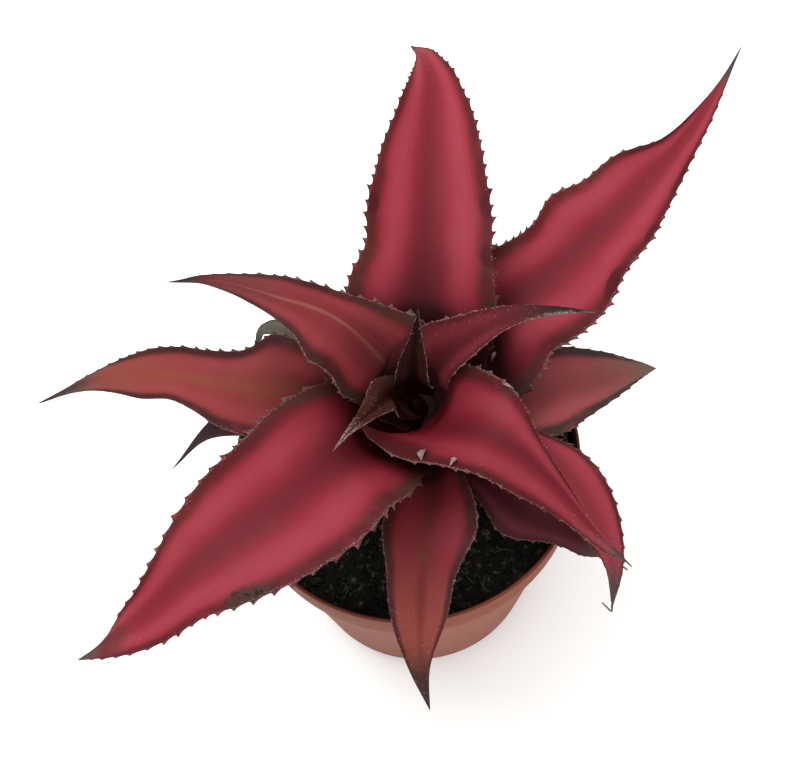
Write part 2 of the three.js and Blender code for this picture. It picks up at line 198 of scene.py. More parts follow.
lamp = bpy.data.objects.new("lamp", bpy.data.lights.new("lamp", "AREA"))
lamp.data.energy = LAMP_POWER
lamp.data.size = LAMP_WIDTH
lamp.matrix_world = (
    Matrix.Translation(LAMP_PLACE)
    @ (LAMP_PLACE - LAMP_AIM).to_track_quat("Z", "Y").to_matrix().to_4x4()
)
bpy.context.scene.collection.objects.link(lamp)

floor_finish, _, _ = new_material("floor", Base_Color=(0.9, 0.91, 0.9, 1.0), Roughness=0.9)
edge = FLOOR_WIDTH / 2
floor_corners = [(x, y, -FLOOR_DROP) for x, y in ((-edge, -edge), (edge, -edge), (edge, edge), (-edge, edge))]
floor = new_piece("floor", floor_corners, [(0, 1, 2, 3)], floor_finish)

# The pot: a round nursery pot of moulded plastic in a dusty terracotta colour, with a
# deep collar under the lip and a ring of drain holes in its flat base.
MM = 0.001
POT_HEIGHT = 105
RIM_RADIUS = 61
BASE_RADIUS = 45
WALL = 1.5
POT_FLOOR = 2
COLLAR_FOOT = 89
COLLAR_FOOT_RADIUS = 60
BODY_TOP_RADIUS = 57.6
EDGE_EASE = 1
DRAIN_HOLES = 6
DRAIN_HOLE_RADIUS = 4
DRAIN_HOLE_SEGMENTS = 32
DRAIN_CIRCLE_RADIUS = 27
POT_SEGMENTS = 192
ARC_STEPS = 4
ARC_SHARE = 0.45
SHARP_ANGLE = 50
PAINTED_LIGHT_HEIGHTS = (0.060, 0.098)
LIP_DARK_HEIGHTS = (0.1035, 0.1046)
SHADE_ACROSS = (-0.05, 0.01)
STAIN_ACROSS = (0.052, 0.057)
STAIN_HEIGHTS = (0.094, 0.099)


def rounded(corners, ease):
    """The outline through (radius, height) corners, each turned by a small arc."""
    points = [Vector(corners[0])]
    for before, corner, after in zip(corners, corners[1:], corners[2:]):
        corner = Vector(corner)
        into = Vector(before) - corner
        out = Vector(after) - corner
        start = corner + into.normalized() * min(ease, ARC_SHARE * into.length)
        end = corner + out.normalized() * min(ease, ARC_SHARE * out.length)
        for step in range(ARC_STEPS + 1):
            share = step / ARC_STEPS
            points.append(start.lerp(corner, share).lerp(corner.lerp(end, share), share))
    points.append(Vector(corners[-1]))
    return points


def ring(radius, height, segments, centre_x=0, centre_y=0):
    """Points round an upright axis."""
    angles = [2 * math.pi * step / segments for step in range(segments)]
    return [(centre_x + radius * math.cos(a), centre_y + radius * math.sin(a), height) for a in angles]


def bands(rings, segments, first=0):
    """Faces between rings of vertices that follow one another."""
    faces = []
    for low in range(first, first + (rings - 1) * segments, segments):
        high = low + segments
        for step in range(segments):
            after = (step + 1) % segments
            faces.append((low + step, low + after, high + after, high + step))
    return faces


def closed(rings, foot, top):
    """A closed body through rings, up its outside first, that ends in a point at foot and top."""
    segments = len(rings[0])
    vertices = [foot, *(point for points in rings for point in points), top]
    faces = bands(len(rings), segments, 1)
    last = len(vertices) - 1
    for step in range(segments):
        after = (step + 1) % segments
        faces += [(0, 1 + after, 1 + step), (last - segments + step, last - segments + after, last)]
    return vertices, faces


def turned(outline, segments):
    """A closed body turned round the z axis; its outline runs from axis to axis."""
    rings = [ring(radius, height, segments) for radius, height in outline[1:-1]]
    return closed(rings, (0, 0, outline[0][1]), (0, 0, outline[-1][1]))


class Tree:
    """A Geometry Nodes tree: named inputs, nodes, and a run that leaves a plain mesh."""

    def __init__(self, name):
        self.tree = bpy.data.node_groups.new(name, "GeometryNodeTree")
        self.tree.interface.new_socket("Geometry", in_out="INPUT", socket_type="NodeSocketGeometry")
        self.tree.interface.new_socket("Geometry", in_out="OUTPUT", socket_type="NodeSocketGeometry")
        self.source = self.tree.nodes.new("NodeGroupInput")
        self.result = self.tree.nodes.new("NodeGroupOutput")
        self.values = {}

    def size(self, name, value, kind="Float"):
        """A named input with its value: Float, Int, Object or Material."""
        made = self.tree.interface.new_socket(name, in_out="INPUT", socket_type="NodeSocket" + kind)
        self.values[made.identifier] = value
        return self.source.outputs[name]

    def node(self, kind, inputs, out=0, **settings):
        """A socket of a new geometry node, or of one whose kind names another family."""
        family = "" if "Node" in kind else "GeometryNode"
        return add_node(self.tree, family + kind, settings, inputs).outputs[out]

    def random(self, low, high, seed):
        """A random number, or three in a tuple, between low and high."""
        if isinstance(low, tuple):
            triple = {"Min": low, "Max": high, "Seed": seed}
            return self.node("FunctionNodeRandomValue", triple, data_type="FLOAT_VECTOR")
        single = {2: low, 3: high, "Seed": seed}
        return self.node("FunctionNodeRandomValue", single, out=1, data_type="FLOAT")

    def strew(self, mesh, density, seed, bit, size, turn=None):
        """Copies of a bit at random places on a mesh, lying along it if no turn is given."""
        faces = {"Mesh": mesh, "Density": density, "Seed": seed}
        points = self.node("DistributePointsOnFaces", faces)
        turn = turn or points.node.outputs["Rotation"]
        copies = {"Points": points, "Instance": bit, "Rotation": turn, "Scale": size}
        return self.node("InstanceOnPoints", copies)

    def run(self, geometry, material, piece):
        """Ends the tree, lays it on the piece and gives back the evaluated plain mesh."""
        real = self.node("RealizeInstances", {"Geometry": geometry})
        finish = self.size("Finish", material, "Material")
        set_finish = self.node("SetMaterial", {"Geometry": real, "Material": finish})
        self.tree.links.new(set_finish, self.result.inputs["Geometry"])
        modifier = piece.modifiers.new(self.tree.name, "NODES")
        modifier.node_group = self.tree
        for identifier, value in self.values.items():
            modifier[identifier] = value
        graph = bpy.context.evaluated_depsgraph_get()
        mesh = bpy.data.meshes.new_from_object(piece.evaluated_get(graph))
        piece.modifiers.remove(modifier)
        return mesh


def pot_finish():
    """Satin plastic, faintly mottled, with dust, stained grey at the lip's sides and darker along the lip's
    top.
    Painted light: the lower body lighter. Painted shade: the left side and the inside darker.
    """
    material, shader, wire = new_material("pot_plastic", Specular_IOR_Level=0.06)
    place = place_of(wire)
    mottle = ramp(grain(wire, place, 38, 4.0), 0.35, 0.7)
    dust = ramp(grain(wire, place, 210, 5.0, 0.7), 0.52, 0.74)
    clay = mix(mottle, seen(148, 76, 57), seen(156, 86, 65))
    sideways = axis(wire, place, 0)
    height = axis(wire, place, 2)
    # painted light: the body below the collar is lighter than the collar, to lift the shade under it
    body = mix(ramp(height, *PAINTED_LIGHT_HEIGHTS), seen(164, 95, 76), clay)
    dust_and_painted_light = mix(dust * 0.25, body, seen(172, 112, 94))
    # painted shade: the pot's left side darker
    dust_and_painted_light = mix(ramp(sideways, *SHADE_ACROSS, 0.4, 0.0), dust_and_painted_light, seen(100, 64, 54))
    # the top of the lip darker
    dust_and_painted_light = mix(ramp(height, *LIP_DARK_HEIGHTS) * 0.7, dust_and_painted_light, seen(104, 54, 42))
    stain = ramp(abs(sideways), *STAIN_ACROSS) * ramp(height, *STAIN_HEIGHTS)
    dust_and_painted_light = mix(stain * (0.75 + mottle * 0.25), dust_and_painted_light, seen(98, 86, 72))
    inside = wire.node("Attribute", {}, out="Fac", attribute_name="inside")
    # painted shade: the inside wall and the inner lip darker
    colour = mix(inside, dust_and_painted_light, seen(62, 31, 23))
    dress(shader, wire, colour, 0.55 + dust * 0.2, grain(wire, place, 900, 2.0), 0.00004)
    return material


pot_corners = [
    (0, 0),
    (BASE_RADIUS, 0),
    (BODY_TOP_RADIUS, COLLAR_FOOT - EDGE_EASE),
    (COLLAR_FOOT_RADIUS, COLLAR_FOOT),
    (RIM_RADIUS, POT_HEIGHT),
    (RIM_RADIUS - WALL, POT_HEIGHT),
    (COLLAR_FOOT_RADIUS - WALL, COLLAR_FOOT + WALL),
    (BODY_TOP_RADIUS - WALL, COLLAR_FOOT),
    (BASE_RADIUS - WALL, POT_FLOOR),
    (0, POT_FLOOR),
]
pot_outline = [point * MM for point in rounded(pot_corners, EDGE_EASE)]
pot_material = pot_finish()
pot = new_piece("pot_shell", *turned(pot_outline, POT_SEGMENTS), pot_material)

holes = Tree("drain holes")
circle = holes.node("MeshCircle", {
    "Vertices": holes.size("Count", DRAIN_HOLES, "Int"),
    "Radius": holes.size("Circle radius", DRAIN_CIRCLE_RADIUS * MM),
})
drill = holes.node("MeshCylinder", {
    "Vertices": DRAIN_HOLE_SEGMENTS,
    "Radius": holes.size("Hole radius", DRAIN_HOLE_RADIUS * MM),
    "Depth": holes.size("Hole depth", 4 * POT_FLOOR * MM),
})
drills = holes.node("InstanceOnPoints", {"Points": circle, "Instance": drill})
half_step = (0, 0, math.pi / DRAIN_HOLES)
turned_drills = holes.node("Transform", {"Geometry": drills, "Rotation": half_step})
cutters = holes.node("RealizeInstances", {"Geometry": turned_drills})
drained = holes.node(
    "MeshBoolean", {"Mesh 1": holes.source.outputs["Geometry"], "Mesh 2": cutters},
    operation="DIFFERENCE", solver="EXACT",
)
pot.data = holes.run(drained, pot_material, pot)
pot.data.set_sharp_from_angle(angle=math.radians(SHARP_ANGLE))
lean = (BODY_TOP_RADIUS - BASE_RADIUS) / COLLAR_FOOT
# Marks the inside wall, which the finish paints darker as painted shade.
inside = pot.data.attributes.new("inside", "FLOAT", "POINT")
for vertex, mark in zip(pot.data.vertices, inside.data):
    x, y, z = vertex.co / MM
    outer = RIM_RADIUS if z > COLLAR_FOOT + WALL else BASE_RADIUS + lean * z
    mark.value = float(z > POT_FLOOR and math.hypot(x, y) < outer - 0.7 * WALL)
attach(pot, "root")
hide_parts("pot")

# The potting mix: moist, nearly black peat and bark that fills the pot to under the rim,
# lumpy on top. Loose crumbs, bark bits and pale rootlets lie on it.
SOIL_LEVEL = 93
SEAT_GAP = 0.3
STEM_X = 5
STEM_Y = 7
STEM_RADIUS = 6.1
STEM_FOOT = 78
SOIL_RINGS = 46
SOIL_SEGMENTS = 160
LUMP_HEIGHT = 2.2
LUMP_SIZE = 11
FINE_LUMP_HEIGHT = 0.9
FINE_LUMP_SIZE = 3.2
LEVEL_EDGE = 6
PATCH_MARGIN = 0.8
BIT_WIDTH = 0.75
BIT_TILT = 0.6
FULL_TURN = 6.28


def soil_height(x, y):
    """The mix's surface in millimetres, level where it meets the wall."""
    coarse = noise.noise(Vector((x, y, 3.0)) / LUMP_SIZE)
    fine = noise.noise(Vector((x, y, 9.0)) / FINE_LUMP_SIZE)
    wall = COLLAR_FOOT_RADIUS - WALL - SEAT_GAP
    calm = min(1.0, (wall - math.hypot(x, y)) / LEVEL_EDGE)
    return SOIL_LEVEL + calm * (LUMP_HEIGHT * coarse + FINE_LUMP_HEIGHT * fine)


def soil_ring(radius, centre_x=0, centre_y=0):
    """A ring of points on the mix's surface, in metres."""
    flat = ring(radius, 0, SOIL_SEGMENTS, centre_x, centre_y)
    return [(x * MM, y * MM, soil_height(x, y) * MM) for x, y, _ in flat]


def soil_finish(name, dark, light, share):
    """Dark crumb with a share of lighter grey-green bits; matt with a moist glint."""
    material, shader, wire = new_material(name, Specular_IOR_Level=0.15)
    place = place_of(wire)
    bits = ramp(grain(wire, place, 420, 3.0), share, share + 0.12)
    damp = grain(wire, place, 160, 3.0)
    colour = mix(bits, dark, light)
    dress(shader, wire, colour, 0.95 - damp * 0.35, grain(wire, place, 1500, 4.0), 0.0003)
    return material


soil_material = soil_finish("potting_mix", seen(29, 29, 24), seen(84, 84, 66), 0.55)
reach = WALL + SEAT_GAP
outer_radius = COLLAR_FOOT_RADIUS - reach
hole_radius = STEM_RADIUS + 2 * SEAT_GAP
hole_foot = (STEM_FOOT - SEAT_GAP) * MM
soil_foot = POT_FLOOR + SEAT_GAP
side = [
    (BASE_RADIUS - reach - EDGE_EASE, soil_foot),
    (BASE_RADIUS - reach, soil_foot + EDGE_EASE),
    (BODY_TOP_RADIUS - reach, COLLAR_FOOT + SEAT_GAP),
    (outer_radius, COLLAR_FOOT + reach),
]
rings = [ring(radius * MM, height * MM, SOIL_SEGMENTS) for radius, height in side]
for k in range(SOIL_RINGS):
    radius = outer_radius + (hole_radius - outer_radius) * k / (SOIL_RINGS - 1)
    pull = (outer_radius - radius) / (outer_radius - hole_radius)
    rings.append(soil_ring(radius, pull * STEM_X, pull * STEM_Y))
rings.append(ring(hole_radius * MM, hole_foot, SOIL_SEGMENTS, STEM_X * MM, STEM_Y * MM))
hole_middle = (STEM_X * MM, STEM_Y * MM, hole_foot)
soil = new_piece("mix_bed", *closed(rings, (0, 0, soil_foot * MM), hole_middle), soil_material)
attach(soil, "root")
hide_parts("potting_mix")


def soil_patch():
    """The open top of the mix on its own, for crumbs to be strewn on."""
    grid = []
    for k in range(SOIL_RINGS):
        grid += soil_ring((outer_radius - PATCH_MARGIN) * (k + 1) / SOIL_RINGS)
    return grid, bands(SOIL_RINGS, SOIL_SEGMENTS)


def strewn(name, material, per_square_cm, smallest, largest, flatness, seed):
    """Loose bits on the mix: rough small stones of random size and turn, half sunk in."""
    patch = new_piece(name, *soil_patch(), material)
    tree = Tree(name)
    bit = tree.node("MeshIcoSphere", {"Radius": 1.0, "Subdivisions": 2})
    flat = tree.node("Transform", {"Geometry": bit, "Scale": (1.0, BIT_WIDTH, flatness)})
    bits = tree.strew(
        tree.source.outputs["Geometry"],
        tree.size("Bits per square metre", per_square_cm * 10000.0),
        tree.size("Seed", seed, "Int"),
        flat,
        tree.random(tree.size("Smallest", smallest * MM), tree.size("Largest", largest * MM), seed + 2),
        tree.random((-BIT_TILT, -BIT_TILT, 0.0), (BIT_TILT, BIT_TILT, FULL_TURN), seed + 1),
    )
    real = tree.node("RealizeInstances", {"Geometry": bits})
    place = tree.node("InputPosition", {})
    lumpy = {"Vector": place, "Scale": 900.0, "Detail": 2.0}
    lumps = tree.node("ShaderNodeTexNoise", lumpy, out="Color")
    halved = {0: lumps, 1: (0.5, 0.5, 0.5)}
    centred = tree.node("ShaderNodeVectorMath", halved, operation="SUBTRACT")
    push = tree.node("ShaderNodeVectorMath", {0: centred, "Scale": largest * MM}, operation="SCALE")
    rough = tree.node("SetPosition", {"Geometry": real, "Offset": push})
    patch.data = tree.run(rough, material, patch)
    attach(patch, "root")


crumb_material = soil_finish("crumb", seen(26, 26, 23), seen(76, 78, 66), 0.6)
bark_material = soil_finish("bark", seen(46, 40, 34), seen(104, 108, 94), 0.56)
strewn("crumbs", crumb_material, 26, 0.35, 1.3, 0.7, seed=11)
strewn("bark_bits", bark_material, 2.2, 1.0, 2.6, 0.35, seed=23)

# The moss: a small cushion of short pointed shoots on a heap of the mix, against the wall
# on the right.
MOSS_MIDDLE = (56, 3, 97.2)
MOSS_REACH = 8
MOSS_THICK_REACH = 4.8
HEAP_RISE = 7
HEAP_START = 50
HEAP_WIDTH = 7
SHOOTS_PER_SQUARE_MM = 7
SHOOT_LENGTH = 2.4
SHOOT_RADIUS = 0.22
SHOOT_TILT = 0.9
moss_material, moss_shader, wire = new_material("moss", Roughness=0.9, Specular_IOR_Level=0.1)
shade = ramp(grain(wire, place_of(wire), 500, 3.0), 0.35, 0.65)
dress(moss_shader, wire, mix(shade, seen(80, 66, 48), seen(122, 122, 94)))
ground, ground_faces = soil_patch()
heap = []
for x, y, z in ground:
    climb = min(1, max(0, (math.hypot(x, y) / MM - HEAP_START) / HEAP_WIDTH))
    heap.append((x, y, z + HEAP_RISE * MM * climb ** 2))
moss = new_piece("moss", heap, ground_faces, moss_material)
tree = Tree("moss")
place = tree.node("InputPosition", {})
measured = {0: place, 1: [value * MM for value in MOSS_MIDDLE]}
away = tree.node("ShaderNodeVectorMath", measured, out=1, operation="DISTANCE")
fading = {
    "Value": away, "From Min": MOSS_THICK_REACH * MM, "From Max": MOSS_REACH * MM,
    "To Min": tree.size("Shoots per square metre", SHOOTS_PER_SQUARE_MM / MM**2), "To Max": 0.0,
}
rate = tree.node("ShaderNodeMapRange", fading, interpolation_type="SMOOTHSTEP")
shoot = tree.node("MeshCone", {
    "Vertices": 5, "Radius Top": 0.0, "Radius Bottom": SHOOT_RADIUS, "Depth": tree.size("Length", 1.0),
})
shoots = tree.strew(
    tree.source.outputs["Geometry"],
    rate,
    tree.size("Seed", 31, "Int"),
    shoot,
    tree.random(0.5 * SHOOT_LENGTH * MM, SHOOT_LENGTH * MM, 33),
    tree.random((-SHOOT_TILT, -SHOOT_TILT, 0.0), (SHOOT_TILT, SHOOT_TILT, FULL_TURN), 32),
)
moss.data = tree.run(shoots, moss_material, moss)
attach(moss, "root")

# The rootlets: a few pale threads that lie slack on the mix. Each is a path of places on
# it, in millimetres.
ROOTLET_THICKNESS = 0.16
ROOTLET_RISE = 0.9
THREAD_STEPS = 16
THREAD_SIDES = 6
ROOTLETS = [
    [(12.4, -38.2), (14.6, -41.6), (17.4, -46.4)],
    [(-30.5, -44.5), (-27.8, -45.6), (-25.6, -42.2), (-24.0, -41.0)],
    [(26.0, -36.0), (29.5, -35.2), (33.0, -36.6)],
    [(-8.5, -48.0), (-11.0, -44.5), (-15.0, -43.5)],
    [(22.0, -44.0), (20.5, -47.5), (22.5, -50.0)],
]


def threads(name, paths, thickness, thinning, material):
    """Round threads through points in millimetres, thinner by a share towards their ends."""
    points = []
    steps = []
    for path in paths:
        steps += [(len(points) + k, len(points) + k + 1) for k in range(len(path) - 1)]
        points += [Vector(point) * MM for point in path]
    piece = new_piece(name, points, [], material, steps)
    tree = Tree(name)
    curve = tree.node("MeshToCurve", {"Mesh": tree.source.outputs["Geometry"]})
    curve = tree.node("CurveSplineType", {"Curve": curve}, spline_type="CATMULL_ROM")
    count = tree.size("Steps", THREAD_STEPS, "Int")
    curve = tree.node("ResampleCurve", {"Curve": curve, "Count": count})
    radius = tree.size("Radius", thickness / 2 * MM)
    circle = {"Resolution": THREAD_SIDES, "Radius": radius}
    profile = tree.node("CurvePrimitiveCircle", circle)
    along = tree.node("SplineParameter", {})
    thinner = {0: along, 1: -thinning, 2: 1.0}
    girth = tree.node("ShaderNodeMath", thinner, operation="MULTIPLY_ADD")
    thread = tree.node(
        "CurveToMesh", {"Curve": curve, "Profile Curve": profile, "Scale": girth, "Fill Caps": True},
    )
    piece.data = tree.run(thread, material, piece)
    return piece


rootlet_material, _, _ = new_material("rootlet", Base_Color=seen(112, 104, 82), Roughness=0.7)
rootlet_paths = [[(x, y, soil_height(x, y) + ROOTLET_RISE) for x, y in path] for path in ROOTLETS]
rootlets = threads("rootlets", rootlet_paths, ROOTLET_THICKNESS, 0, rootlet_material)
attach(rootlets, "root")

# The stem: a short woody stalk in the mix, ringed with the scars of old leaves, that
# narrows inside the rosette. Its top there is painted near black, as painted shade.
STEM_TOP = 134
STEM_TOP_RADIUS = 1.6
STEM_TAPER_FROM = 99
STEM_STEP = 0.5
STEM_EASE = 0.8
STEM_SEGMENTS = 64
SCAR_PITCH = 3.2
SCAR_RELIEF = 0.5


def stem_radius(height):
    """The stem's radius without its scars."""
    taper = min(max((height - STEM_TAPER_FROM) / (STEM_TOP - STEM_TAPER_FROM), 0), 1)
    return STEM_RADIUS + (STEM_TOP_RADIUS - STEM_RADIUS) * taper


stem_outline = [Vector((0, STEM_FOOT)), Vector((STEM_RADIUS - STEM_EASE, STEM_FOOT))]
for step in range(1, round((STEM_TOP - STEM_FOOT) / STEM_STEP) + 1):
    height = STEM_FOOT + STEM_STEP * step
    scar = SCAR_RELIEF * math.cos(2 * math.pi * height / SCAR_PITCH) ** 3
    fade = 1 if height < STEM_TAPER_FROM else 0
    stem_outline.append(Vector((stem_radius(height) + scar * fade, height)))
stem_outline.append(Vector((0, STEM_TOP + STEM_EASE)))
stem_material, stem_shader, wire = new_material("stem_bark", Specular_IOR_Level=0.03)
place = place_of(wire)
bark = mix(grain(wire, place, 300, 4.0), seen(50, 36, 28), seen(112, 84, 62))
# painted shade: the stem's top, inside the rosette, near black
bark = mix(ramp(axis(wire, place, 2), 0.100, 0.112), bark, seen(34, 14, 12))
dress(stem_shader, wire, bark, 0.75 + grain(wire, place, 500) * 0.2, grain(wire, place, 900, 4.0), 0.0004)
stem_turned = turned([point * MM for point in stem_outline], STEM_SEGMENTS)
stem = new_piece("stem_bark", *stem_turned, stem_material)
stem.data.transform(Matrix.Translation((STEM_X * MM, STEM_Y * MM, 0)))
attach(stem, "root")
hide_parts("stem")

# The leaves: thick, waved blades that clasp the stem and arch out, with small forward
# teeth on both margins. Each is crimson with two pink bands, a dark middle and brown
# margins, and pale scurf on its edge.
LEAF_SEAT = 1.2
MIDRIB_THICKNESS = 1.5
MARGIN_THICKNESS = 0.5
ROUNDING_OF_FOLD = 0.22
TIP_THINNING = 0.3
RIB_THINNING = 0.7
TOOTH_LENGTH = 1.3
TOOTH_SHARE = 0.25
TOOTH_LEAN = 0.6
TOOTH_THINNING = 0.7
TOOTH_HOLLOW = 2.8
TOOTH_SIZES = (0.55, 1.15)
TOOTH_STRAY = 0.16
FEWEST_TEETH = 8
RIPPLE_SIZE = 9
RIPPLE_HEIGHT = 0.35
WAVE_SWELL = 0.8
WAVE_LAG = 2.1
FUNNEL_START = 6
FUNNEL_RISE = 17
FUNNEL_SPREAD = 21
FUNNEL_HOLD = 8
FUNNEL_RELEASE = 34
CLASP_END = 0.24
CLASP_LIMIT = 2.2
CLASP_FLARE = 0.6
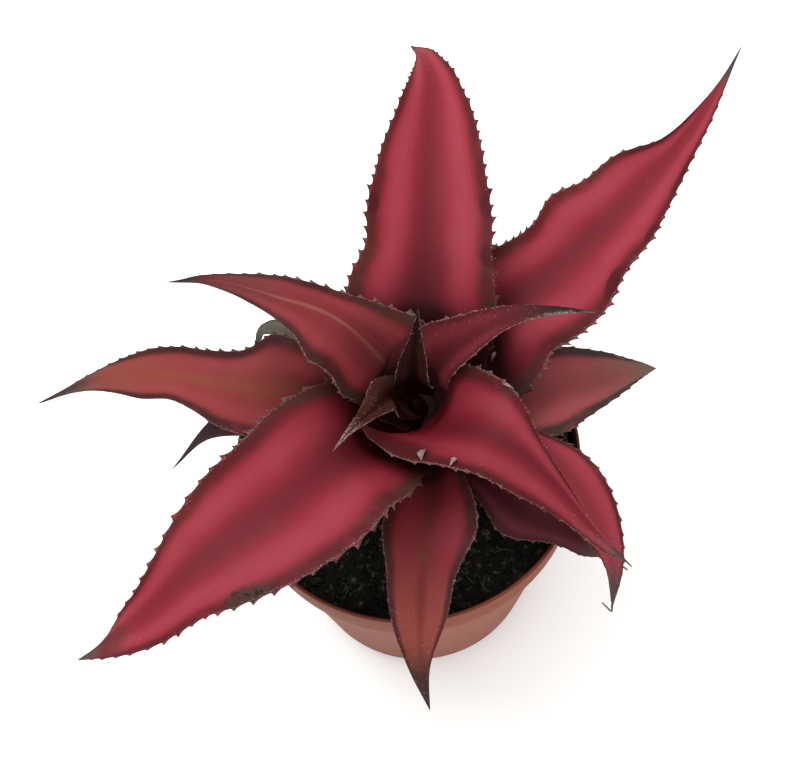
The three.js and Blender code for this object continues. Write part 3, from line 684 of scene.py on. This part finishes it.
# joint: the height where it leaves the stem. midrib: points at even steps to the tip.
# left and right: the reach to each side as seen from the stem. fold: the rise of the
# halves at base, middle and tip. wave: height, count and phase of the margin's waves.
# tone: its lightness among the others. dark: how far along its base the painted shade reaches.
# tip_from: where its dry tip starts. teeth: their size, the last one's place on the left
# and on the right, and their pitch. scurf: how thickly pale scales lie on its margin and
# on its face, and the side they favour. spots: place, size, colour and rot of blemishes,
# and on leaf_11 of painted shade at its base.
LEAVES = {
    "leaf_01": dict(
        joint=98, skin="slate", dark=0.3,
        midrib=[(-18, 11, 106), (-35, 16, 110.5), (-52, 18, 112), (-69.5, 16, 108.5), (-84.4, 8, 98.5)],
        left=[7, 9, 10, 9.2, 6, 1.8], right=[7, 9, 10.4, 10.4, 7.5, 2],
        fold=[0.2, 0.2, 0.1], wave=(0.5, 2, 0), teeth=(0.3, 0.6, 0.6, 4.2), scurf=(0.1, 0, 0),
    ),
    "leaf_02": dict(
        joint=100.7, skin="ash", dark=0.3,
        midrib=[(-9, 24, 111), (-22, 36, 116), (-35, 46, 117), (-46, 53, 111), (-51, 50, 101)],
        left=[8, 11, 8.4, 4.8, 2.6, 1.4], right=[8, 12, 12.9, 9.8, 5.2, 2.6],
        fold=[0.2, 0.2, 0.2], wave=(0.5, 2, 0), teeth=(0.7, 0.9, 0.9, 4.2), scurf=(0.1, 0, 0),
    ),
    "leaf_03": dict(
        joint=103, skin="plum", dark=0.4,
        midrib=[(20, -10, 111), (31, -24, 114), (41, -33.5, 113), (54, -40, 109.5), (61.5, -44, 99)],
        left=[10, 10.5, 11.5, 11.5, 8.4, 3], right=[10, 6.5, 6.5, 11, 6, 5],
        fold=[0.15, 0.2, 0.2], wave=(1, 2, 0), teeth=(0.7, 0.9, 0.9, 4.2), scurf=(0.3, 0, 0),
    ),
    "leaf_04": dict(
        joint=105.3, skin="dusky", tone=1.08, dark=0.35,
        midrib=[(28, 9, 115), (44.4, 10.2, 118.5), (58.5, 12.8, 118), (78, 15.6, 115), (92, 20.4, 108)],
        left=[10, 14.7, 17, 16.5, 12.5, 7.5], right=[10, 14.6, 17.6, 17.5, 12.4, 4.2],
        fold=[0.15, 0.2, 0.2], wave=(1, 3, 0), teeth=(0.7, 0.9, 0.9, 4.2), scurf=(0.2, 0.004, 0),
    ),
    "leaf_05": dict(
        joint=107.6, skin="wine", tone=1.06, dark=0.36,
        midrib=[(7, -21, 117), (2.5, -39.5, 119.5), (-1, -55.5, 115.5), (-3.2, -74, 109), (-2.6, -89, 97)],
        left=[8, 12, 16.3, 11.3, 8.8, 2.5], right=[8, 11.3, 15.3, 12, 10, 4.6],
        fold=[0.15, 0.22, 0.2], wave=(1.5, 2.5, 0), teeth=(0.45, 0.6, 0.6, 4.2), scurf=(0.6, 0.01, 0),
        spots=[(0.45, 0.05, 0.016, 0.2, (110, 62, 50), 0)],
    ),
    "leaf_06": dict(
        joint=110, skin="rosy", dark=0.4,
        midrib=[(31, -2.5, 121), (46.5, -14, 124), (56.5, -27, 119), (64, -45, 105), (64.5, -58, 84)],
        left=[11, 7.5, 5.5, 8.7, 8.2, 4.4], right=[10, 11.8, 12.3, 11.5, 8.7, 2.4],
        fold=[0.15, 0.2, 0.2], wave=(1, 3, 0), teeth=(0.9, 0.92, 0.92, 4.2), scurf=(0.4, 0.006, 0),
    ),
    "leaf_07": dict(
        joint=112.5, skin="coral", dark=0.5,
        midrib=[(-29, 18, 124), (-54, 23, 127), (-80, 32, 125), (-106, 37, 118), (-132, 39, 102)],
        left=[11, 14, 17, 19.6, 20.5, 18, 12.5, 8.5, 8.3, 5.9, 3.7, 1.5],
        right=[11, 12.8, 15.3, 18.8, 21.6, 14.4, 10.5, 9.8, 9.3, 7.3, 4, 1],
        fold=[0.15, 0.15, 0.2], wave=(3, 2.2, 0), teeth=(1, 0.45, 0.93, 4.4), scurf=(0.3, 0, 0),
    ),
    "leaf_08": dict(
        joint=115.3, skin="crimson", dark=0.45,
        midrib=[(35, 35, 133), (59.5, 48, 141), (84.5, 63.5, 150), (110, 84, 160), (133, 112, 168)],
        left=[11, 16, 19.5, 19, 16, 16, 20.5, 17, 14.2, 5.6, 2.5, 0.6],
        right=[11, 23, 27.5, 24.5, 26, 25.5, 20.4, 17, 11.5, 6.9, 4.4, 2.2],
        fold=[0.15, 0.22, 0.3], wave=(3.5, 2.2, 1), teeth=(1.2, 0.74, 0.88, 4.4), scurf=(0.5, 0.0005, 0),
        spots=[
            (0.466, 0.9, 0.045, 0.17, (82, 28, 33), 0), (0.592, 0.93, 0.03, 0.13, (88, 28, 33), 0),
            (0.714, -0.96, 0.06, 0.2, (88, 34, 38), 0), (0.718, 0.92, 0.05, 0.15, (86, 36, 36), 0),
        ],
    ),
    "leaf_09": dict(
        joint=118, skin="crimson", tone=0.97, dark=0.35, tip_from=0.91,
        midrib=[(-21.5, -11, 138), (-42, -29, 145), (-69.5, -44.5, 142), (-92, -57, 132), (-116.4, -62, 112)],
        left=[10.5, 19.3, 26, 27.2, 28.7, 26.3, 23.7, 20.4, 15.8, 12.8, 9.2, 4.9],
        right=[13, 22, 25, 26, 24.2, 22.8, 21.4, 17.2, 11.4, 7.4, 5.2, 0.8],
        fold=[0.15, 0.2, 0.15], wave=(1.5, 3, 0), teeth=(1.35, 0.97, 0.97, 5.6), scurf=(0.35, 0.001, 0),
        spots=[
            (0.552, -1.0, 0.066, 0.34, (72, 52, 45), 1), (0.94, 0, 0.12, 1.4, (104, 42, 46), 0),
        ],
    ),
    "leaf_10": dict(
        joint=121, skin="crimson", dark=0.5, tip_from=0.95,
        midrib=[(11, 39, 140), (16.5, 65.5, 152), (21, 94, 158), (24, 122, 159), (19, 141.3, 152)],
        left=[11, 19.3, 24.5, 24.7, 20.4, 20.4, 18.4, 16.3, 12, 8.5, 5.3, 1.2],
        right=[10.5, 20, 26, 24.8, 23, 21.9, 19.5, 17.3, 14.7, 10, 6.2, 4.7],
        fold=[0.15, 0.28, 0.2], wave=(1.5, 4, 0.5), teeth=(1.2, 0.98, 0.98, 4.2), scurf=(0.1, 0.0005, 0),
        spots=[
            (0.43, 0.96, 0.035, 0.17, (84, 26, 31), 0), (0.324, 0.96, 0.035, 0.17, (80, 26, 30), 0),
            (0.43, -0.94, 0.03, 0.15, (84, 26, 31), 0),
        ],
    ),
    "leaf_11": dict(
        joint=124.5, skin="crimson", tone=0.9, dark=0.15,
        midrib=[(12, -1, 137), (30.5, -13.7, 142), (44.2, -26.6, 138), (57.6, -43, 127), (69.6, -50.2, 108)],
        left=[13.5, 19.6, 20.5, 15.8, 8.2, 3.3, 1.6, 0.5],
        right=[36, 25.6, 18.4, 17.2, 14.6, 10.9, 6.3, 3.9],
        fold=[0.35, 0.2, 0.4], wave=(1.5, 3, 0), teeth=(0.7, 0.6, 0.9, 4.2), scurf=(0.55, 0.01, 0),
        # this spot is painted shade: leaf_11's base near the heart darker
        spots=[(0.17, 0.82, 0.11, 0.42, (90, 38, 40), 0)],
    ),
    "leaf_12": dict(
        joint=127.3, skin="russet", dark=0.4,
        midrib=[(-5.5, 23, 142), (-20, 33.2, 153), (-38, 41.2, 156), (-58, 52.8, 151), (-76, 59.8, 142)],
        left=[10.8, 14.2, 18, 21.2, 20, 21, 12.8, 7.5, 5.4, 4.2, 2.2, 0.6],
        right=[9.6, 17, 19, 14.4, 10.6, 7.7, 6.7, 6.9, 5.9, 3.6, 1.5, 0.6],
        fold=[0.2, 0.35, 0.3], wave=(1.5, 2.5, 0), teeth=(1, 0.4, 0.93, 4.8), scurf=(0.5, 0.001, 0),
    ),
    "leaf_13": dict(
        joint=130.3, skin="inner", dark=0.4,
        midrib=[(14.2, 18, 141.5), (27, 21.6, 148), (40.3, 23.6, 153), (53.7, 23, 156), (66.8, 19.7, 158)],
        left=[14, 14, 9, 5.5, 3.3, 1.2], right=[9, 7.5, 5.8, 4.8, 3, 1.6],
        fold=[0.3, 0.5, 0.3], wave=(0.6, 2, 0), teeth=(0.4, 0.8, 0.8, 4.2), scurf=(1.1, 0.24, 1),
    ),
    "leaf_14": dict(
        joint=133.5, skin="scaly", tone=1.3, dark=0.5,
        midrib=[(-4, 9, 139.5), (-8, 4, 145), (-12.5, -2, 148), (-18, -8.7, 150), (-23.6, -15, 150.5)],
        left=[9, 7.5, 4.5, 2.8, 1.8, 0.8], right=[9, 6.5, 5.2, 3.6, 2, 0.9],
        fold=[0.5, 0.5, 0.4], wave=(0.3, 2, 0), teeth=(0.3, 0.8, 0.8, 4.2), scurf=(0.8, 0.4, 0),
    ),
    "leaf_15": dict(
        joint=135, upright=True, skin="scaly", tone=0.9, dark=0.6,
        midrib=[(5, 10.6, 143), (5.8, 13.2, 150), (6.8, 16.4, 156.5), (8, 19.7, 163), (9.2, 23.1, 169.5)],
        left=[5.6, 5.8, 5.2, 4, 2, 0.8], right=[6.5, 6.3, 5.2, 4.4, 2.9, 1.4],
        fold=[0.35, 0.5, 0.4], wave=(0.2, 2, 0), teeth=(0.3, 0.8, 0.8, 4.2), scurf=(0.7, 0.03, 0),
    ),
}
BLADE_COLUMNS = 33
BLADE_END = 0.997
COLUMN_CROWDING = 0.93
TOOTH_STEPS = (0.0, 0.26, 0.44, 0.56, 0.65, 0.72, 0.8, 0.9)
TOOTH_PEAK = 0.72
SHADES = ("band", "field", "heart", "margin", "olive", "far", "tip", "throat_shade")
USUAL_SKIN = dict(rim=0.8, middle=0.4, far_from=0.6, tip_from=0.85, bare=0.12, shine=0.1)


def skin_of(*shades, **rest):
    """A leaf's skin: eight shades, and what is unlike USUAL_SKIN. rim: how far out its brown
    margin starts. middle: how far out its heart streak reaches. far_from, tip_from: where the
    far shade and the tip's start. bare: how much of its base has no scurf. shine: its gloss."""
    return {**USUAL_SKIN, **dict(zip(SHADES, shades)), **rest}


SKINS = {
    "crimson": skin_of(
        (172, 64, 78), (152, 46, 59), (120, 36, 46), (98, 34, 38), (92, 58, 50), (154, 66, 73),
        (84, 72, 69), (52, 14, 17), rim=0.86, middle=0.42, far_from=0.75, tip_from=0.87, shine=0.08,
    ),
    "coral": skin_of(
        (156, 64, 68), (148, 56, 59), (146, 68, 53), (74, 34, 35), (86, 50, 46), (144, 68, 59),
        (76, 52, 48), (56, 18, 22), rim=0.82, far_from=0.5, tip_from=0.74,
    ),
    "russet": skin_of(
        (152, 60, 65), (134, 49, 54), (146, 84, 74), (78, 36, 36), (78, 56, 48), (116, 50, 51),
        (60, 44, 42), (44, 14, 16), middle=0.06, far_from=0.45, tip_from=0.78,
    ),
    "wine": skin_of(
        (128, 44, 52), (124, 42, 50), (112, 44, 42), (74, 34, 36), (72, 46, 42), (142, 69, 61),
        (68, 45, 41), (52, 16, 19), rim=0.83, middle=0.26, far_from=0.4, tip_from=0.72,
    ),
    "dusky": skin_of(
        (160, 78, 80), (150, 72, 74), (140, 68, 69), (70, 50, 47), (80, 62, 56), (130, 84, 77),
        (112, 88, 79), (84, 46, 46),
    ),
    "plum": skin_of(
        (112, 52, 60), (98, 44, 52), (90, 38, 46), (80, 42, 44), (78, 48, 46), (104, 50, 57), (92, 52, 54),
        (50, 20, 24), rim=0.84,
    ),
    "rosy": skin_of(
        (172, 66, 79), (160, 60, 71), (148, 54, 64), (94, 36, 41), (92, 58, 50), (152, 72, 75),
        (90, 70, 65), (52, 14, 17), rim=0.86, middle=0.3, far_from=0.7, tip_from=0.8, shine=0.08,
    ),
    "ash": skin_of(
        (112, 106, 95), (104, 98, 87), (92, 86, 77), (84, 80, 70), (78, 70, 60), (98, 94, 84),
        (80, 78, 70), (50, 30, 30), shine=0.05,
    ),
    "slate": skin_of(
        (86, 62, 62), (78, 56, 56), (72, 50, 50), (84, 66, 62), (78, 70, 60), (70, 52, 54), (64, 50, 52),
        (50, 30, 30), shine=0.08,
    ),
    "inner": skin_of(
        (126, 48, 56), (112, 42, 49), (98, 34, 41), (96, 38, 42), (84, 40, 40), (86, 44, 46), (56, 38, 37),
        (34, 12, 13), rim=0.88, far_from=0.45, tip_from=0.62, bare=0.2, shine=0.06,
    ),
    "scaly": skin_of(
        (66, 38, 34), (54, 31, 27), (42, 23, 19), (62, 38, 34), (58, 44, 36), (52, 32, 30), (44, 32, 30),
        (26, 11, 10), far_from=0.5, tip_from=0.7, bare=0.2, shine=0.02,
    ),
}


def smooth(values, t):
    """A smooth curve through evenly spaced values, read at an array of t from 0 to 1."""
    values = np.asarray(values, float)
    last = len(values) - 1
    span = np.clip(t, 0, 1) * last
    i = np.minimum(np.floor(span).astype(int), last - 1)
    u = span - i
    if values.ndim > 1:
        u = u[..., None]
    padded = np.concatenate([[2 * values[0] - values[1]], values, [2 * values[-1] - values[-2]]])
    a, b, c, d = (padded[i + k] for k in range(4))
    return b + 0.5 * u * (c - a + u * (2 * a - 5 * b + 4 * c - d + u * (3 * (b - c) + d - a)))


def soft_step(value, low, high):
    """From 0 below low to 1 above high, for an array."""
    share = np.clip((value - low) / (high - low), 0, 1)
    return share * share * (3 - 2 * share)


def midrib_points(leaf, t):
    """The leaf's midrib from the stem to the tip, in millimetres."""
    x, y, _ = leaf["midrib"][0]
    away = (stem_radius(leaf["joint"]) + LEAF_SEAT) / math.hypot(x - STEM_X, y - STEM_Y)
    root = (STEM_X + away * (x - STEM_X), STEM_Y + away * (y - STEM_Y), leaf["joint"])
    return smooth([root, *leaf["midrib"]], t)


def blade_frame(leaf, t):
    """Across to the right and up from the face, at every t."""
    step = 0.002
    ahead = midrib_points(leaf, np.minimum(t + step, 1))
    forward = ahead - midrib_points(leaf, np.maximum(t - step, 0))
    forward /= np.linalg.norm(forward, axis=-1, keepdims=True)
    across = np.cross(forward, (0.0, 0.0, 1.0))
    across /= np.linalg.norm(across, axis=-1, keepdims=True)
    return across, np.cross(across, forward)


def blade_points(leaf, t, v, beyond):
    """The blade's middle surface in millimetres: t along it, v from -1 at the left margin
    to 1 at the right, and a reach beyond the margin for a tooth."""
    across, up = blade_frame(leaf, t)
    side = np.where(v < 0, -1.0, 1.0)
    left = smooth([*leaf["left"], 0], t)
    right = smooth([*leaf["right"], 0], t)
    reach_across = np.maximum(np.where(v < 0, left, right), 0)
    height, count, phase = leaf["wave"]
    swell = np.sin(np.pi * np.clip(t, 0, 1) ** WAVE_SWELL) ** WAVE_SWELL
    beat = 2 * np.pi * count * t + phase + np.where(v < 0, WAVE_LAG, 0)
    wave = height * swell * np.sin(beat) * v * v
    easing = ROUNDING_OF_FOLD
    rise = (np.hypot(v, easing) - easing) / (math.hypot(1, easing) - easing)
    lift = smooth(leaf["fold"], t) * reach_across * rise + wave
    middle = midrib_points(leaf, t)
    forward = np.cross(up, across)
    point = middle + across * (v * reach_across + side * beyond)[..., None] + up * lift[..., None]
    point += forward * (TOOTH_LEAN * beyond)[..., None]
    if leaf.get("upright"):
        return point, up
    dx = middle[..., 0] - STEM_X
    dy = middle[..., 1] - STEM_Y
    near = np.hypot(dx, dy)
    wide = reach_across + beyond
    turn = -v * np.minimum(wide / near, CLASP_LIMIT)
    flare = np.hypot(near, CLASP_FLARE * v * wide) / near
    clasp_x = STEM_X + flare * (dx * np.cos(turn) - dy * np.sin(turn))
    clasp_y = STEM_Y + flare * (dx * np.sin(turn) + dy * np.cos(turn))
    clasped = 1 - soft_step(t, 0, CLASP_END)
    point[..., 0] += clasped * (clasp_x - point[..., 0])
    point[..., 1] += clasped * (clasp_y - point[..., 1])
    reach = np.hypot(point[..., 0] - STEM_X, point[..., 1] - STEM_Y)
    funnel = FUNNEL_RISE * (1 - np.exp(-np.maximum(reach - FUNNEL_START, 0) / FUNNEL_SPREAD))
    free = soft_step(reach, FUNNEL_HOLD, FUNNEL_RELEASE)
    point[..., 2] = (1 - free) * (leaf["joint"] + funnel) + free * point[..., 2]
    return point, up


def blade_mesh(name, leaf, draw):
    """One blade as a closed skin: an upper and a lower face joined round the margin, with
    a tooth in every step of both margins, no two alike."""
    line = midrib_points(leaf, np.linspace(0, 1, 50))
    length = np.linalg.norm(np.diff(line, axis=0), axis=1).sum()
    tooth_size, last_left, last_right, pitch = leaf["teeth"]
    teeth = max(FEWEST_TEETH, round(length / pitch))
    inner_stops = [(k + draw.uniform(-TOOTH_STRAY, TOOTH_STRAY)) / teeth for k in range(1, teeth)]
    stops = [0, *inner_stops, 1]
    rows = [a + (b - a) * s for a, b in zip(stops, stops[1:]) for s in TOOTH_STEPS] + [BLADE_END]
    t = np.array(rows)
    v = np.sin(np.linspace(-0.5, 0.5, BLADE_COLUMNS) * np.pi * COLUMN_CROWDING)
    v /= v[-1]
    t_grid, v_grid = np.meshgrid(t, v, indexing="ij")
    beyond = np.zeros_like(t_grid)
    for column, side, last_tooth in ((0, "left", last_left), (-1, "right", last_right)):
        reach_across = smooth([*leaf[side], 0], t)
        for k in range(teeth):
            if stops[k] > last_tooth:
                continue
            smaller = 1.2 - 0.8 * soft_step(stops[k], 0.15, last_tooth)
            size = tooth_size * draw.uniform(*TOOTH_SIZES) * smaller
            for s, place in enumerate(TOOTH_STEPS):
                row = k * len(TOOTH_STEPS) + s
                flank = place / TOOTH_PEAK if place <= TOOTH_PEAK else (1 - place) / (1 - TOOTH_PEAK)
                longest = min(TOOTH_LENGTH, TOOTH_SHARE * reach_across[row])
                beyond[row, column] = longest * size * flank ** TOOTH_HOLLOW
    middle, up = blade_points(leaf, t_grid, v_grid, beyond)
    ripple = np.array([noise.noise(Vector(point) / RIPPLE_SIZE) for point in middle.reshape(-1, 3)])
    ripple = ripple.reshape(t_grid.shape) * RIPPLE_HEIGHT * soft_step(t_grid, 0.25, 0.45)
    middle += up * ripple[..., None]
    rib = (MIDRIB_THICKNESS - MARGIN_THICKNESS) * (1 - v_grid**2) * (1 - RIB_THINNING * t_grid)
    half = (MARGIN_THICKNESS + rib) * (1 - TIP_THINNING * t_grid) / 2
    half[beyond > 0] *= TOOTH_THINNING
    points = np.concatenate([
        (middle + up * half[..., None]).reshape(-1, 3),
        (middle - up * half[..., None]).reshape(-1, 3),
    ]) * MM
    count, columns = t_grid.shape
    index = np.arange(count * columns).reshape(count, columns)
    a, b, c, d = index[:-1, :-1], index[:-1, 1:], index[1:, 1:], index[1:, :-1]
    top = np.stack([a, b, c, d], axis=-1).reshape(-1, 4)
    bottom = top[:, ::-1] + count * columns
    rim = np.concatenate([index[:, 0][::-1], index[0, :], index[:, -1], index[-1, ::-1]])
    walls = [(p, p + count * columns, q + count * columns, q) for p, q in zip(rim, rim[1:]) if p != q]
    faces = top.tolist() + bottom.tolist() + walls
    piece = new_piece(name, points.tolist(), faces, leaf_finish(name, leaf))
    mesh = piece.data
    corner = np.empty(len(mesh.loops), int)
    mesh.loops.foreach_get("vertex_index", corner)
    uv = np.stack([0.5 + 0.5 * v_grid.ravel(), t_grid.ravel()], axis=-1)
    uv = np.concatenate([uv, uv])[corner]
    mesh.uv_layers.new(name="blade").data.foreach_set("uv", uv.ravel())
    sides = np.concatenate([np.zeros(count * columns), np.ones(count * columns)])
    mesh.attributes.new("underside", "FLOAT", "POINT").data.foreach_set("value", sides)
    on_margin, on_face, favoured = leaf["scurf"]
    edge = soft_step(np.abs(v_grid), 0.96, 1) * (1 - 0.6 * soft_step(t_grid, 0.35, 0.75))
    toward = favoured * v_grid if favoured else np.abs(v_grid)
    outer = soft_step(t_grid, 0.6, 0.88) * soft_step(toward, -0.3, 0.9)
    face = 0.06 * soft_step(t_grid, 0.2, 0.4) + 5 * outer
    bare = SKINS[leaf["skin"]]["bare"]
    scurf = (on_margin * edge + on_face * face) * soft_step(t_grid, bare, bare + 0.1)
    scurf = np.concatenate([scurf.ravel(), 0 * scurf.ravel()])
    mesh.attributes.new("scurf", "FLOAT", "POINT").data.foreach_set("value", scurf)
    return piece


def leaf_finish(name, leaf):
    """Satin skin whose bands run along the blade, by its own map of across and along."""
    skin = dict(SKINS[leaf["skin"]])
    for part, shade in skin.items():
        if isinstance(shade, tuple):
            skin[part] = seen(*(leaf.get("tone", 1) * value for value in shade))
    rim = skin["rim"]
    material, shader, wire = new_material(name, Specular_IOR_Level=skin["shine"])
    spread = wire.node("UVMap", {}, uv_map="blade")
    across = axis(wire, spread, 0) * 2.0 - 1.0
    along = axis(wire, spread, 1)
    place = place_of(wire)
    cloud = grain(wire, place, 45, 3.0) - 0.5
    patch = grain(wire, place, 120, 2.0) - 0.5
    fleck = grain(wire, place, 420, 2.0)
    streak_map = wire.node("Mapping", {"Vector": spread, "Scale": (46.0, 2.5, 1.0)})
    streak = grain(wire, streak_map, 1.0, 3.0) - 0.5
    off = abs(across) + cloud * 0.14 + streak * 0.05
    band = ramp(off, 0.2, 0.56) * ramp(off, rim - 0.28, rim, 1.0, 0.0) * ramp(along, 0.08, 0.34)
    blade = mix(band * (0.9 + streak * 0.6 + cloud * 0.9), skin["field"], skin["band"])
    blade = mix(ramp(along + cloud * 0.2, skin["far_from"], skin["far_from"] + 0.3), blade, skin["far"])
    heart = ramp(off, 0.0, skin["middle"], 1.0, 0.0) * ramp(along, 0.45, 0.95, 1.0, 0.25)
    blade = mix(heart, blade, skin["heart"])
    blade = mix(ramp(streak, 0.02, 0.25) * 0.3, blade, skin["heart"])
    border = mix(ramp(along + patch * 0.5, 0.1, 0.4), skin["olive"], skin["margin"])
    border = mix(ramp(patch, 0.0, 0.3) * 0.5, border, skin["field"])
    inner_edge = off + patch * 0.1 - along * 0.06 + 0.03
    blade = mix(ramp(inner_edge, rim - 0.14, rim + 0.05), blade, border)
    for spot_along, spot_across, long, wide, shade, rot in leaf.get("spots", ()):
        near = ((along - spot_along) / long) ** 2.0 + ((across - spot_across) / wide) ** 2.0 + patch
        rotten = seen(*(0.5 * value for value in shade))
        speck = mix(ramp(fleck, 0.52, 0.6) * rot, seen(*shade), rotten)
        blade = mix(ramp(near, 0.2, 1.0, 0.9, 0.0), blade, speck)
    dark = leaf["dark"]
    # painted shade: each blade darker towards its base, deep in the rosette, as far as its dark reaches
    throat_shade = ramp(along, 0.1 * dark, dark, 1.0, 0.0) * ramp(off, 0.1, 0.6, 1.0, 0.25)
    throat_shade = throat_shade + ramp(along, 0.2 * dark, 0.5 * dark, 1.0, 0.0)
    blade = mix(throat_shade, blade, skin["throat_shade"])
    tip_from = leaf.get("tip_from", skin["tip_from"])
    blade = mix(ramp(along + cloud * 0.04, tip_from, 0.4 * tip_from + 0.6), blade, skin["tip"])
    edge = ramp(abs(across), 0.975, 0.995) * ramp(along, skin["bare"], skin["bare"] + 0.1)
    fringe = edge * ramp(fleck, 0.42, 0.56)
    blade = mix(fringe * min(0.15 + 0.45 * leaf["scurf"][0], 0.42), blade, seen(150, 106, 102))
    underside = wire.node("Attribute", {}, out="Fac", attribute_name="underside")
    silver = mix(ramp(streak, -0.2, 0.3), seen(124, 92, 88), seen(164, 138, 130))
    blade = mix(underside * ramp(along, 0.05, 0.25), blade, silver)
    vein_map = wire.node("Mapping", {"Vector": spread, "Scale": (120.0, 3.0, 1.0)})
    veins = grain(wire, vein_map, 1.0, 2.0)
    rough = 0.5 + cloud * 0.2 + fringe * 0.3
    dress(shader, wire, blade, rough, veins * 0.6 + grain(wire, place, 700, 3.0) * 0.4, 0.0001)
    return material


blades = {}
for number, (name, leaf) in enumerate(LEAVES.items()):
    blade = blade_mesh(name + "_blade", leaf, random.Random(400 + number))
    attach(blade, "root")
    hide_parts(name)
    blades[name] = blade

# The scurf: small pale scales that lie thickly along the margins and over the innermost
# leaves, and thinly elsewhere.
FLAKES_PER_SQUARE_MM = 12
FLAKE_SMALLEST = 0.06
FLAKE_LARGEST = 0.15
SLIVERS_PER_SQUARE_MM = 1.2
SLIVER_LENGTH = 1.3
SLIVER_RADIUS = 0.09
scurf_material, _, _ = new_material(
    "scurf", Base_Color=seen(196, 160, 154), Roughness=0.8, Specular_IOR_Level=0.2,
)
scurf = new_piece("scurf", [(0, 0, 0)], [], scurf_material)
tree = Tree("scurf")
joined = tree.tree.nodes.new("GeometryNodeJoinGeometry")
for name, blade in blades.items():
    source = tree.node("ObjectInfo", {"Object": tree.size(name, blade, "Object")}, out=4)
    tree.tree.links.new(source, joined.inputs[0])
thickness = tree.node("InputNamedAttribute", {"Name": "scurf"}, data_type="FLOAT")
rate = tree.size("Flakes per square metre", FLAKES_PER_SQUARE_MM / MM**2)
density = tree.node("ShaderNodeMath", {0: thickness, 1: rate}, operation="MULTIPLY")
flake = tree.node("MeshCone", {"Vertices": 5, "Side Segments": 1, "Radius Bottom": 1.0, "Depth": 0.5})
size = tree.random(tree.size("Smallest", FLAKE_SMALLEST * MM), tree.size("Largest", FLAKE_LARGEST * MM), 72)
flakes = tree.strew(joined.outputs[0], density, tree.size("Seed", 71, "Int"), flake, size)
over = {0: thickness, 1: 0.7}
frayed = tree.node("ShaderNodeMath", over, operation="SUBTRACT", use_clamp=True)
rate = tree.size("Slivers per square metre", SLIVERS_PER_SQUARE_MM / MM**2)
density = tree.node("ShaderNodeMath", {0: frayed, 1: rate}, operation="MULTIPLY")
sliver = tree.node("MeshCone", {"Vertices": 4, "Radius Bottom": SLIVER_RADIUS, "Depth": 1.0})
length = tree.random(0.3 * SLIVER_LENGTH * MM, SLIVER_LENGTH * MM, 83)
turn = tree.random((0.6, -1.0, 0.0), (1.7, 1.0, FULL_TURN), 82)
slivers = tree.strew(joined.outputs[0], density, tree.size("Sliver seed", 81, "Int"), sliver, length, turn)
both = tree.tree.nodes.new("GeometryNodeJoinGeometry")
for part in (flakes, slivers):
    tree.tree.links.new(part, both.inputs[0])
scurf.data = tree.run(both.outputs[0], scurf_material, scurf)
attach(scurf, "root")

# The torn skin: whitish slips of dry leaf skin that hang from the margins near the heart.
# Each: its leaf, where on it the slip starts and ends (along, across), and its width.
SLIP_THICKNESS = 0.12
SLIP_CLEARANCE = 1.0
SLIP_LIFT = 0.7
SLIP_CURL = 0.4
SLIP_WAVER = 0.12
SLIP_ROWS = 6
SLIPS = [
    ("leaf_11", (0.231, 0.68), (0.248, 1.0), 3.8),
    ("leaf_11", (0.33, 0.78), (0.326, 1.0), 2.3),
    ("leaf_11", (0.345, -0.94), (0.377, -1.0), 1.5),
    ("leaf_08", (0.154, 0.33), (0.136, 0.36), 1.8),
]
slip_material, slip_shader, wire = new_material("torn_skin", Roughness=0.8, Specular_IOR_Level=0.15)
wear = ramp(grain(wire, place_of(wire), 700, 3.0), 0.35, 0.65)
dress(slip_shader, wire, mix(wear, seen(180, 152, 148), seen(132, 102, 97)))
vertices = []
faces = []
for name, start, end, width in SLIPS:
    share = np.linspace(0, 1, SLIP_ROWS + 1)
    along = start[0] + (end[0] - start[0]) * share
    across = start[1] + (end[1] - start[1]) * share
    line, up = blade_points(LEAVES[name], along, across, 0 * share)
    line += up * (SLIP_CLEARANCE + SLIP_LIFT * np.sin(np.pi * share))[:, None]
    beside = np.cross(line[-1] - line[0], up[0])
    beside *= width / 2 / np.linalg.norm(beside)
    first = len(vertices)
    for middle, rise, row in zip(line, up, share):
        for side in (-1, 0, 1):
            reach = side * (1 - row) ** 0.8 * min(0.4 + 2 * row, 1) + SLIP_WAVER * math.sin(5 * row)
            point = middle + beside * reach + rise * (SLIP_CURL * abs(side) * (1 - row))
            vertices += [(point + rise * SLIP_THICKNESS) * MM, (point - rise * SLIP_THICKNESS) * MM]
    for row in range(SLIP_ROWS):
        for column in range(2):
            a = first + 6 * row + 2 * column
            faces += [(a, a + 6, a + 8, a + 2), (a + 1, a + 3, a + 9, a + 7)]
        left = first + 6 * row
        right = left + 4
        faces += [(left, left + 1, left + 7, left + 6), (right, right + 6, right + 7, right + 1)]
    last = first + 6 * SLIP_ROWS
    for a, turn in ((first, 1), (last, -1)):
        faces += [(a, a + 2, a + 3, a + 1)[::turn], (a + 2, a + 4, a + 5, a + 3)[::turn]]
slips = new_piece("torn_skin", vertices, faces, slip_material)
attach(slips, "root")

# The dry ends: stiff grey-brown threads, where the ends of two leaves and one tooth have
# withered. The one at the tip of leaf_06 is bent back. Each is a path in millimetres.
DRY_END_THICKNESS = 0.75
DRY_END_THINNING = 0.4
DRY_ENDS = [
    [(64.4, -57.2, 85.4), (64.3, -58.6, 82.9), (62.9, -56.9, 82.6), (61.5, -55.1, 83)],
    [(68.2, -49.4, 110), (69.3, -50.1, 108.1), (70.6, -50.9, 106.4)],
    [(68.2, -47.1, 97.4), (69.3, -48, 97.2), (70.4, -49, 97)],
]
dry_material, _, _ = new_material(
    "dry_end", Base_Color=seen(88, 80, 70), Roughness=0.85, Specular_IOR_Level=0.1,
)
dry_ends = threads("dry_ends", DRY_ENDS, DRY_END_THICKNESS, DRY_END_THINNING, dry_material)
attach(dry_ends, "root")
